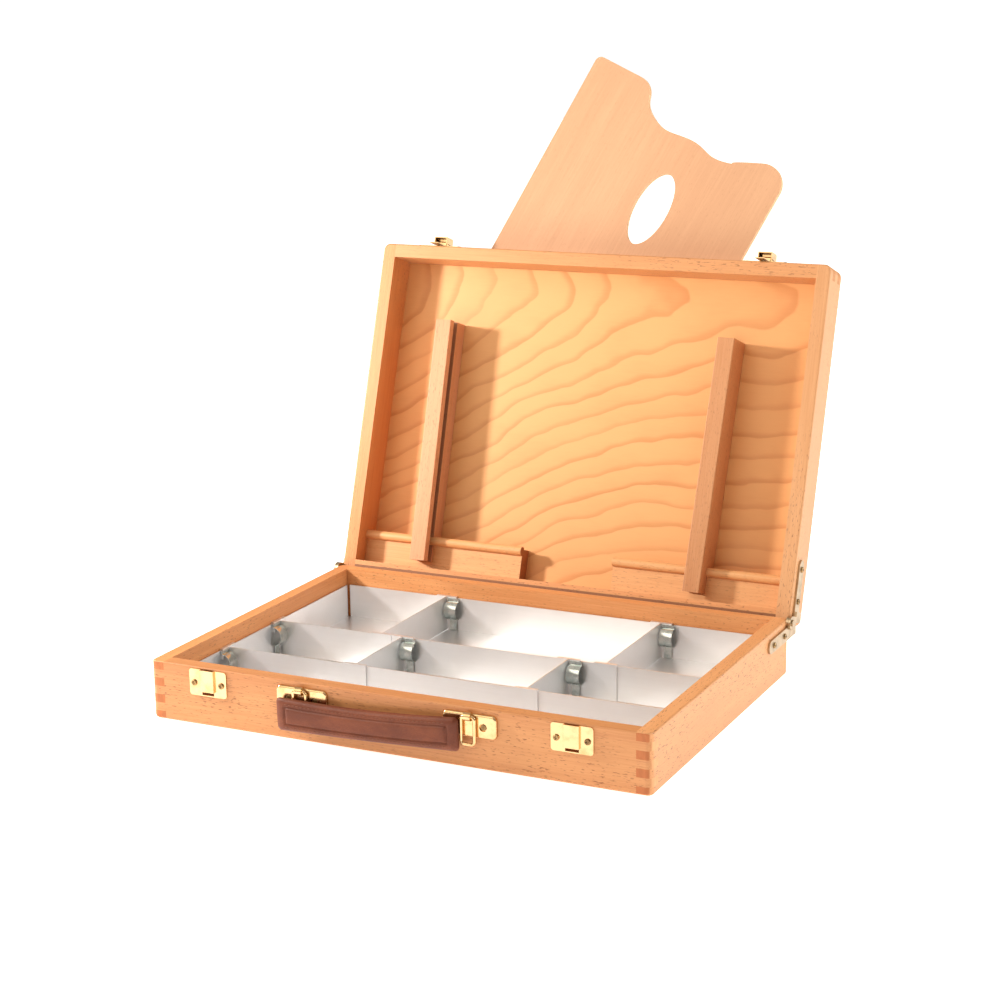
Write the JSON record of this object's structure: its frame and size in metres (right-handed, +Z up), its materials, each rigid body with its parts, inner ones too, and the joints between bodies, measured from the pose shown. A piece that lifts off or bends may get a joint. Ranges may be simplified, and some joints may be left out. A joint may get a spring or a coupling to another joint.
{
  "type": "sketch box easel",
  "caption": "Wooden table sketch box: divided metal paint tray below, hinged lid with sliding grooved canvas posts and a loose palette above, carrying handle in front",
  "frame": {"origin": "middle of the box's underside, on the table", "axes": "X along the front to the right seen from the front, Y towards the hinged side, Z up"},
  "size_m": [0.4302, 0.5042, 0.4878],
  "materials": {
    "beech": "oiled",
    "plywood": "oiled",
    "aluminium": "matt rolled sheet",
    "steel": "bright zinc",
    "screw_steel": "polished",
    "brass": "polished",
    "leather": "smooth, stitched edge"
  },
  "bodies": {
    "base": {"base_front": "beech", "base_back": "beech", "base_left": "beech", "base_right": "beech", "base_bottom": "plywood", "tray_pan": "aluminium", "divider_rear": "aluminium", "divider_front": "aluminium", "clip_end_rear": "steel", "clip_end_front": "steel", "strike_left": "brass", "strike_right": "brass", "bracket_left": "brass", "bracket_right": "brass", "strap_base_left": "brass", "strap_base_right": "brass", "hinge_pins": "brass", "base_screws": "screw_steel"},
    "lid": {"lid_front": "beech", "lid_back": "beech", "lid_left": "beech", "lid_right": "beech", "lid_panel": "plywood", "guide_rail_left": "beech", "guide_rail_right": "beech", "catch_plate_left": "brass", "catch_plate_right": "brass", "catch_pins": "brass", "strap_lid_left": "brass", "strap_lid_right": "brass", "lid_screws": "screw_steel"},
    "handle": {"handle_grip": "leather", "handle_ring_left": "brass", "handle_ring_right": "brass"},
    "lever_left": {"catch_lever_left": "brass"},
    "lever_right": {"catch_lever_right": "brass"},
    "canvas_left": {"post_left": "beech"},
    "canvas_right": {"post_right": "beech"},
    "palette_board": {"palette": "plywood"},
    "part_rear_left": {"cross_rear_left": "aluminium", "clip_rear_left": "steel"},
    "part_rear_right": {"cross_rear_right": "aluminium", "clip_rear_right": "steel"},
    "part_middle_left": {"cross_middle_left": "aluminium", "clip_middle_left": "steel"},
    "part_middle_right": {"cross_middle_right": "aluminium", "clip_middle_right": "steel"}
  },
  "joints": [
    {"name": "lid_hinge", "type": "hinge", "parent": "base", "child": "lid", "pos_m": [0, 0.1477, 0.0439], "axis": [1, 0, 0], "range_deg": [0, 108.6]},
    {"name": "handle_swing", "type": "hinge", "parent": "base", "child": "handle", "pos_m": [0, -0.1546, 0.0416], "axis": [1, 0, 0], "range_deg": [-90, 0]},
    {"name": "catch_left", "type": "hinge", "parent": "lid", "child": "lever_left", "pos_m": [-0.157, 0.25932, 0.32509], "axis": [1, 0, 0], "range_deg": [-18, 0], "stiffness_Nm_per_rad": 0.02},
    {"name": "catch_right", "type": "hinge", "parent": "lid", "child": "lever_right", "pos_m": [0.1493, 0.25932, 0.32509], "axis": [1, 0, 0], "range_deg": [-18, 0], "stiffness_Nm_per_rad": 0.02},
    {"name": "post_slide_left", "type": "slide", "parent": "lid", "child": "canvas_left", "axis": [1, 0, 0], "range_m": [-0.045, 0.08]},
    {"name": "post_slide_right", "type": "slide", "parent": "lid", "child": "canvas_right", "axis": [1, 0, 0], "range_m": [-0.065, 0.055]},
    {"name": "palette_lift", "type": "slide", "parent": "lid", "child": "palette_board", "axis": [0, 0.319, 0.9478], "range_m": [0, 0.3]},
    {"name": "slide_rear_left", "type": "slide", "parent": "base", "child": "part_rear_left", "axis": [1, 0, 0], "range_m": [-0.07, 0]},
    {"name": "slide_rear_right", "type": "slide", "parent": "base", "child": "part_rear_right", "axis": [1, 0, 0], "range_m": [0, 0.06]},
    {"name": "slide_middle_left", "type": "slide", "parent": "base", "child": "part_middle_left", "axis": [1, 0, 0], "range_m": [0, 0.065]},
    {"name": "slide_middle_right", "type": "slide", "parent": "base", "child": "part_middle_right", "axis": [1, 0, 0], "range_m": [-0.05, 0.01]}
  ]
}
